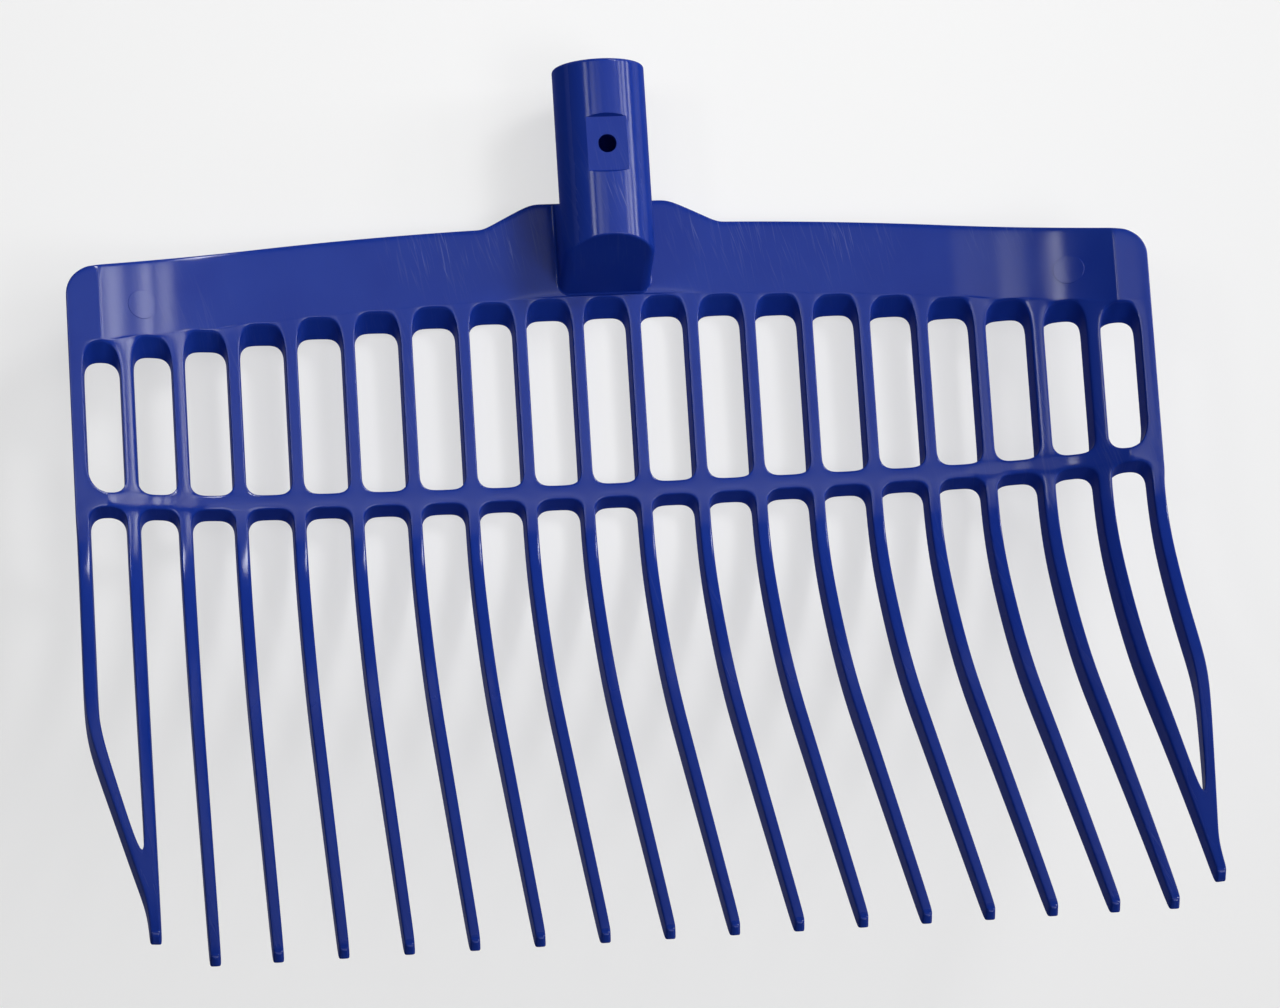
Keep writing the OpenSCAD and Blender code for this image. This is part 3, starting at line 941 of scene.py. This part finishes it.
def make_socket(cage):
    """Foot of the socket up to the saddle, then the tube."""
    crown = crown_angles()
    below = [180 + 180 * k / BELOW_STEPS for k in range(1, BELOW_STEPS)]
    lanes = [socket_lane(cage, SOCKET_R, z, -1, 0, FOOT_ROUND) for z in SIDE_LEVELS]
    for a in crown:
        x, z = on_tube(a)
        soft = mix(FOOT_ROUND, CROWN_ROUND, clamp(min(a, 180 - a) / CROWN_TURN))
        lanes.append(socket_lane(cage, x, z, -x / SOCKET_R, (AXIS_Z - z) / SOCKET_R, soft))
    lanes += [socket_lane(cage, -SOCKET_R, z, 1, 0, FOOT_ROUND) for z in reversed(SIDE_LEVELS)]
    cage.grid("socket", lanes)
    levels = len(SIDE_LEVELS)
    ends = [lane[-1] for lane in lanes]
    saddle = ends[levels:-levels]
    for a in below:
        x, z = on_tube(a)
        saddle.append(cage.point(x, saddle_u(z), z))
    foot = make_foot(cage, lanes)
    far = len(crown) - 1
    under = [saddle[0]] + saddle[:far:-1] + [saddle[far]]
    left_foot = [row[-1] for row in foot]
    right_foot = [row[0] for row in reversed(foot)]
    cage.face("socket", *under, *ends[-levels:], *left_foot, *right_foot, *ends[:levels])
    make_tube(cage, crown + below, saddle)


def make_foot(cage, lanes):
    """Small fillet where the socket stands on the plate, and its flat underside; returns its rows."""
    right, left = lanes[0][::-1], lanes[-1]
    inner = SOCKET_R - FOOT_ROUND
    shares = [k / ACROSS_STEPS for k in range(1, ACROSS_STEPS)]
    across = [cage.point(mix(inner, -inner, q), foot_u(FOOT_Z), FOOT_Z) for q in shares]
    line = right + across + left
    turns = [0, 0] + ROUND_STEPS + [math.pi / 2] * len(across) + ROUND_STEPS[::-1] + [0, 0]
    cage.face("socket", *across, *[lane[0] for lane in lanes[::-1]])
    # Share of the fillet's reach and of its height in each row, then a skirt sunk into the plate
    profile = [(1 - math.sin(a), 1 - math.cos(a)) for a in ROUND_STEPS[-2::-1]] + [(1, None)]
    rows = []
    for reach, height in profile:
        row = []
        for n, p in enumerate(line):
            front = math.sin(turns[n])
            out = mix(FILLET, FILLET_AT_FOOT, front) * reach
            z = BAR_DEPTH - FOOT_SINK
            if height is not None:
                z = mix(plate_z(cage.x(p), cage.u(p)), FOOT_Z, height)
            side = 1 if n < len(line) / 2 else -1
            x = cage.x(p) + side * math.cos(turns[n]) * out
            u = cage.u(p) - front * out + front * FOOT_RAMP * (z - FOOT_Z)
            if n in (0, len(line) - 1):
                u = saddle_u(z)
            row.append(cage.point(x, u, z))
        rows.append(row)
    cage.grid("socket", [line] + rows)
    cage.face("socket", *rows[-1])
    return rows


def tube_ring(cage, angles, r, u):
    ring = []
    for a in angles:
        x, z = on_tube(a, r)
        ring.append(cage.point(x, u, z))
    return ring


def pad_end(cage, angles, u, outward):
    """Rings along the outer and inner edge of one slanted end of the pad."""
    outer, inner = [], []
    for c, a in enumerate(angles):
        x, z = on_tube(a)
        if PAD_FIRST < c < PAD_LAST:
            outer.append(cage.point(x, u + outward * (z - PAD_Z) / PAD_SLOPE, z))
            inner.append(cage.point(x, u, PAD_Z))
        else:
            outer.append(cage.point(x, u, z))
            inner.append(outer[-1])
    return outer, inner


def make_tube(cage, angles, saddle):
    """Tube beyond the saddle, with the pad, its screw hole, the rim and the bore."""
    low, high = SCREW_U - PAD_LENGTH / 2, SCREW_U + PAD_LENGTH / 2
    low_outer, low_inner = pad_end(cage, angles, low, -1)
    high_outer, high_inner = pad_end(cage, angles, high, 1)
    steps = [mix(low, high, k / PAD_STEPS) for k in range(1, PAD_STEPS)]
    outer_rows = [low_inner] + [tube_ring(cage, angles, SOCKET_R, u) for u in steps] + [high_inner]
    bore_rows = [tube_ring(cage, angles, BORE_R, u) for u in [low] + steps + [high]]
    mouth = [high_inner, high_outer]
    for a in ROUND_STEPS:
        r, u = SOCKET_R - RIM_ROUND * (1 - math.cos(a)), MOUTH - RIM_ROUND * (1 - math.sin(a))
        mouth.append(tube_ring(cage, angles, r, u))
    for a in ROUND_STEPS:
        r, u = BORE_R + BORE_ROUND * (1 - math.sin(a)), MOUTH - BORE_ROUND * (1 - math.cos(a))
        mouth.append(tube_ring(cage, angles, r, u))
    floor = tube_ring(cage, angles, BORE_R, MOUTH - BORE_DEPTH)
    for chain in ([saddle, low_outer, low_inner], mouth + [bore_rows[-1]], [bore_rows[0], floor]):
        for a, b in zip(chain, chain[1:]):
            cage.band("socket", a, b)
    for rows in (outer_rows, bore_rows):
        for a, b in zip(rows, rows[1:]):
            for c in range(len(angles)):
                n = (c + 1) % len(angles)
                if not PAD_FIRST <= c < PAD_LAST:
                    cage.face("socket", a[c], a[n], b[n], b[c])
    cage.face("socket", *floor)
    make_hole(cage, outer_rows, bore_rows)


def pad_border(rows):
    """Points round the window that the pad leaves in rows of rings."""
    border = rows[0][PAD_FIRST:PAD_LAST + 1] + [row[PAD_LAST] for row in rows[1:-1]]
    return border + rows[-1][PAD_FIRST:PAD_LAST + 1][::-1] + [row[PAD_FIRST] for row in rows[-2:0:-1]]


def make_hole(cage, outer_rows, bore_rows):
    """Round screw hole through the pad into the bore."""
    angles = [math.atan2(cage.u(p) - SCREW_U, cage.x(p)) for p in pad_border(outer_rows)]
    places = [(SCREW_R * math.cos(a), SCREW_U + SCREW_R * math.sin(a)) for a in angles]
    outer = [cage.point(x, u, PAD_Z) for x, u in places]
    inner = [cage.point(x, u, AXIS_Z + math.sqrt(BORE_R ** 2 - x * x)) for x, u in places]
    cage.band("socket", pad_border(outer_rows), outer)
    cage.band("socket", pad_border(bore_rows), inner)
    cage.band("socket", outer, inner)


def add_socket(material):
    cage = Cage()
    make_socket(cage)
    mesh = bpy.data.meshes.new("socket")
    mesh.from_pydata(cage.points, [], cage.faces)
    copy = bmesh.new()
    copy.from_mesh(mesh)
    drop_loose(copy)
    flats = [f for f in copy.faces if len(f.verts) > FLAT_CORNERS]
    bmesh.ops.inset_individual(copy, faces=flats, thickness=FLAT_INSET * MM)
    bmesh.ops.recalc_face_normals(copy, faces=copy.faces)
    copy.to_mesh(mesh)
    copy.free()
    mesh.shade_smooth()
    rounding = {"width": SOCKET_EDGE * MM, "segments": 2, "limit_method": "ANGLE", "angle_limit": EDGE_TURN}
    modifiers = [("BEVEL", rounding), ("WEIGHTED_NORMAL", {"weight": NORMAL_WEIGHT})]
    add_piece(evaluated(mesh, modifiers), "socket", material)


def add_head(material):
    """All nodes but the socket, cut from one smooth cage."""
    cage = Cage()
    sides = make_sides(cage)
    tops = make_bars(cage, sides)
    middles = make_crossings(cage, sides)
    make_plate(cage, sides, tops, middles)
    mesh, names = build_mesh(cage, "head")
    split_pieces(mesh, names, material, ejector_marks())


class Material:
    """A new material, and short ways to add nodes to it."""

    def __init__(self, name):
        self.data = bpy.data.materials.new(name)
        self.data.use_nodes = True
        self.tree = self.data.node_tree
        self.shader = self.tree.nodes["Principled BSDF"]

    def feed(self, node, inputs):
        """Sets inputs of a node, each to a plain value or to another node's output."""
        for key, value in inputs.items():
            if isinstance(value, bpy.types.NodeSocket):
                self.tree.links.new(value, node.inputs[key])
            else:
                node.inputs[key].default_value = value

    def add(self, kind, inputs, **settings):
        node = self.tree.nodes.new(kind)
        for key, value in settings.items():
            setattr(node, key, value)
        self.feed(node, inputs)
        return node

    def combine(self, operation, a, b):
        return self.add("ShaderNodeMath", {0: a, 1: b}, operation=operation).outputs[0]

    def ramp(self, value, start, end):
        """Carries the values from start[0] to start[1] over to those from end[0] to end[1]."""
        names = ("Value", "From Min", "From Max", "To Min", "To Max")
        return self.add("ShaderNodeMapRange", dict(zip(names, (value, *start, *end)))).outputs[0]

    def noise(self, place, scale, detail):
        inputs = {"Vector": place, "Scale": scale, "Detail": detail}
        return self.add("ShaderNodeTexNoise", inputs).outputs[0]

    def blend(self, share, first, second):
        """Colour between two colours."""
        return self.add("ShaderNodeMix", {0: share, 6: first, 7: second}, data_type="RGBA").outputs[2]


# Plastic: tones and roughness change softly in patches
TONES = [(0.0081, 0.0312, 0.282, 1), (0.0102, 0.0374, 0.304, 1)]
ROUGHNESS = (0.13, 0.17)
PATCH_SCALE = 38
PATCH_RANGE = (0.3, 0.7)

# Faces that look sideways are matt, those that look up or down are polished
POLISH_RANGE = (0.58, 0.8)
SPECULAR = (0.005, 0.35)
MATT_ROUGHNESS = 0.25

# Fine grain of the surface, with the scratches cut into it
GRAIN_SCALE = 420
GRAIN_STRENGTH = 0.25
GRAIN_DEPTH = 0.06
SCRATCH_DEPTH = -0.6

# Scratches: direction in degrees, and how many fit in a metre along and across it
SCRATCHES = [(108, 60, 1250), (98, 52, 1400)]
SCRATCH_LAYERS = 60
SCRATCH_RANGE = (0.6, 0.76)
SCRATCH_TONE = (0.16, 0.2, 0.42, 1)
SCRATCH_TINT = 0.22
SCRATCH_ROUGHNESS = 0.2

# Wear that lets the scratches show: a little in patches, more in scuffed places with a reach
WEAR_SCALE = 11
WEAR_RANGE = (0.52, 0.7)
WEAR_MOST = 0.35
SCUFF_WEAR = 0.8
SCUFF_CORE = 0.4
PLATE_SCUFFS = [(-62, 94, 26), (-38, 98, 20), (42, 97, 22), (60, 92, 24), (95, 93, 26), (150, 95, 20)]
SOCKET_SCUFF = (4, 104, 14)


def scratch_marks(plastic, place):
    """Share of scratching at each place."""
    worn = plastic.ramp(plastic.noise(place, WEAR_SCALE, 2), WEAR_RANGE, (0, WEAR_MOST))
    scuffs = [(x, u, BAR_DEPTH + bow_height(x), reach) for x, u, reach in PLATE_SCUFFS]
    scuffs.append((*SOCKET_SCUFF[:2], AXIS_Z + SOCKET_R, SOCKET_SCUFF[2]))
    for x, u, z, reach in scuffs:
        spot = Vector((x, u - MIDDLE, z)) * MM
        away = plastic.add("ShaderNodeVectorMath", {0: place, 1: spot}, operation="DISTANCE")
        limits = (reach * MM * SCUFF_CORE, reach * MM)
        near = plastic.ramp(away.outputs["Value"], limits, (SCUFF_WEAR, 0))
        worn = plastic.combine("MAXIMUM", worn, near)
    layers = []
    for angle, along, across in SCRATCHES:
        inputs = {"Vector": place, "Rotation": (0, 0, math.radians(angle)),
                  "Scale": (1 / along, 1 / across, 1 / SCRATCH_LAYERS)}
        turned = plastic.add("ShaderNodeMapping", inputs, vector_type="TEXTURE").outputs[0]
        layers.append(plastic.ramp(plastic.noise(turned, 1, 1), SCRATCH_RANGE, (0, 1)))
    return plastic.combine("MULTIPLY", plastic.combine("MAXIMUM", *layers), worn)


def blue_plastic():
    plastic = Material("blue plastic")
    place = plastic.add("ShaderNodeTexCoord", {}).outputs["Object"]
    marks = scratch_marks(plastic, place)

    def scratched(value, amount):
        return plastic.combine("ADD", value, plastic.combine("MULTIPLY", marks, amount))

    normal = plastic.add("ShaderNodeNewGeometry", {}).outputs["Normal"]
    facing = plastic.add("ShaderNodeSeparateXYZ", {"Vector": normal}).outputs["Z"]
    polish = plastic.ramp(plastic.combine("ABSOLUTE", facing, 0), POLISH_RANGE, (0, 1))
    patches = plastic.noise(place, PATCH_SCALE, 3)
    tone = plastic.blend(plastic.ramp(patches, PATCH_RANGE, (0, 1)), *TONES)
    tint = plastic.combine("MULTIPLY", marks, SCRATCH_TINT)
    matt = plastic.combine("MULTIPLY", plastic.combine("SUBTRACT", 1, polish), MATT_ROUGHNESS)
    rough = scratched(plastic.ramp(patches, PATCH_RANGE, ROUGHNESS), SCRATCH_ROUGHNESS)
    grain = scratched(plastic.noise(place, GRAIN_SCALE, 2), SCRATCH_DEPTH)
    bump = {"Strength": GRAIN_STRENGTH, "Distance": GRAIN_DEPTH * MM, "Height": grain}
    plastic.feed(plastic.shader, {
        "Base Color": plastic.blend(tint, tone, SCRATCH_TONE),
        "Roughness": plastic.combine("ADD", rough, matt),
        "Specular IOR Level": plastic.ramp(polish, (0, 1), SPECULAR),
        "Normal": plastic.add("ShaderNodeBump", bump).outputs[0],
    })
    return plastic.data


# Camera: place, turn in degrees, lens
CAMERA_PLACE = (-194.6, -194.2, 1491.9)
CAMERA_TURN = (7.930, -7.320, -3.602)
CAMERA_LENS = 111.87
CAMERA_SENSOR = 36
CAMERA_CLIP = 20


def make_camera():
    camera = bpy.data.cameras.new("camera")
    camera.lens = CAMERA_LENS
    camera.sensor_width = CAMERA_SENSOR
    camera.clip_end = CAMERA_CLIP
    holder = add_object("camera", camera)
    holder.location = Vector(CAMERA_PLACE) * MM
    holder.rotation_euler = [math.radians(a) for a in CAMERA_TURN]
    bpy.context.scene.camera = holder


# Floor: half its side, its look, and how far it is lifted towards white
FLOOR_REACH = 3
FLOOR_TONE = (0.84, 0.84, 0.84, 1)
FLOOR_ROUGHNESS = 0.9
FLOOR_LIFT = 0.6


def floor_material():
    """To the eye and in reflections it is lifted towards white; its shadows stay."""
    white = Material("floor")
    white.feed(white.shader, {"Base Color": FLOOR_TONE, "Roughness": FLOOR_ROUGHNESS})
    rays = white.add("ShaderNodeLightPath", {}).outputs
    seen = rays["Is Camera Ray"]
    for name in ("Is Glossy Ray", "Is Transmission Ray"):
        seen = white.combine("MAXIMUM", seen, rays[name])
    lift = white.combine("MULTIPLY", seen, FLOOR_LIFT)
    glow = white.add("ShaderNodeEmission", {}).outputs[0]
    lifted = white.add("ShaderNodeMixShader", {0: lift, 1: white.shader.outputs[0], 2: glow}).outputs[0]
    white.feed(white.tree.nodes["Material Output"], {"Surface": lifted})
    return white.data


def make_stage():
    mesh = bpy.data.meshes.new("floor")
    corners = [(FLOOR_REACH * x, FLOOR_REACH * y, 0) for x, y in ((-1, -1), (1, -1), (1, 1), (-1, 1))]
    mesh.from_pydata(corners, [], [(0, 1, 2, 3)])
    mesh.materials.append(floor_material())
    floor = add_object("floor", mesh)


# Lamps long in y: name, angle from the vertical, y, distance, angle filled, length, radiance, spread
FULL_SPREAD = 180
SIDE_LIGHTS = [
    ("window pane 1", 48, 0.45, 1.7, 4, 0.6, 13.8, 50),
    ("window pane 2", 57.5, 0.45, 1.7, 7, 0.6, 13.8, 50),
    ("window pane 3", 71, 0.45, 1.7, 6, 0.6, 15.5, 50),
    ("left window near", -8.5, 0.35, 1.7, 15, 0.5, 2.2, 50),
    ("left window far", -21.5, 0.35, 1.7, 11, 0.5, 4.3, 50),
    ("left pane", -37.5, 0.35, 1.7, 7, 0.5, 11.2, 50),
    ("ceiling", 22, 0.4, 2.1, 44, 0.7, 0.6, FULL_SPREAD),
    ("ceiling below", 15, -0.32, 2.12, 46, 1.2, 1.1, FULL_SPREAD),
]

# Lamps aimed at the head: name, place, y of the aim, size, radiance, spread
KEY_LIGHTS = [
    ("key above", (1.02, 1.1, 1.46), 0.17, (0.8, 0.4), 31, 30),
    ("key below", (0.9, -0.58, 1.72), 0, (0.8, 0.8), 3.4, FULL_SPREAD),
]
AIM_Z = 0.03
WORLD_STRENGTH = 0.045


def area_light(name, place, turned, size, radiance, spread):
    """Rectangular lamp of a given radiance straight ahead; a smaller spread narrows its beam."""
    light = bpy.data.lights.new(name, "AREA")
    light.shape = "RECTANGLE"
    light.size, light.size_y = size
    light.spread = math.radians(spread)
    half = light.spread / 2
    beam = 1 if spread == FULL_SPREAD else 1 - half / math.tan(half)
    light.energy = radiance * math.pi * size[0] * size[1] * beam
    holder = add_object(name, light)
    holder.location = place
    holder.rotation_euler = turned


def make_lights():
    for name, degrees, y, distance, filled, length, radiance, spread in SIDE_LIGHTS:
        a = math.radians(degrees)
        width = 2 * distance * math.tan(math.radians(filled) / 2)
        place = (distance * math.sin(a), y, distance * math.cos(a))
        area_light(name, place, (0, a, 0), (width, length), radiance, spread)
    for name, place, aim_y, size, radiance, spread in KEY_LIGHTS:
        turned = (Vector((0, aim_y, AIM_Z)) - Vector(place)).to_track_quat("-Z", "Y").to_euler()
        area_light(name, place, turned, size, radiance, spread)
    world = bpy.data.worlds.new("world")
    world.use_nodes = True
    background = world.node_tree.nodes["Background"]
    background.inputs["Color"].default_value = (1, 1, 1, 1)
    background.inputs["Strength"].default_value = WORLD_STRENGTH
    bpy.context.scene.world = world


make_camera()
plastic_look = blue_plastic()
add_head(plastic_look)
add_socket(plastic_look)
make_stage()
make_lights()
bpy.context.scene.view_settings.view_transform = "Standard"
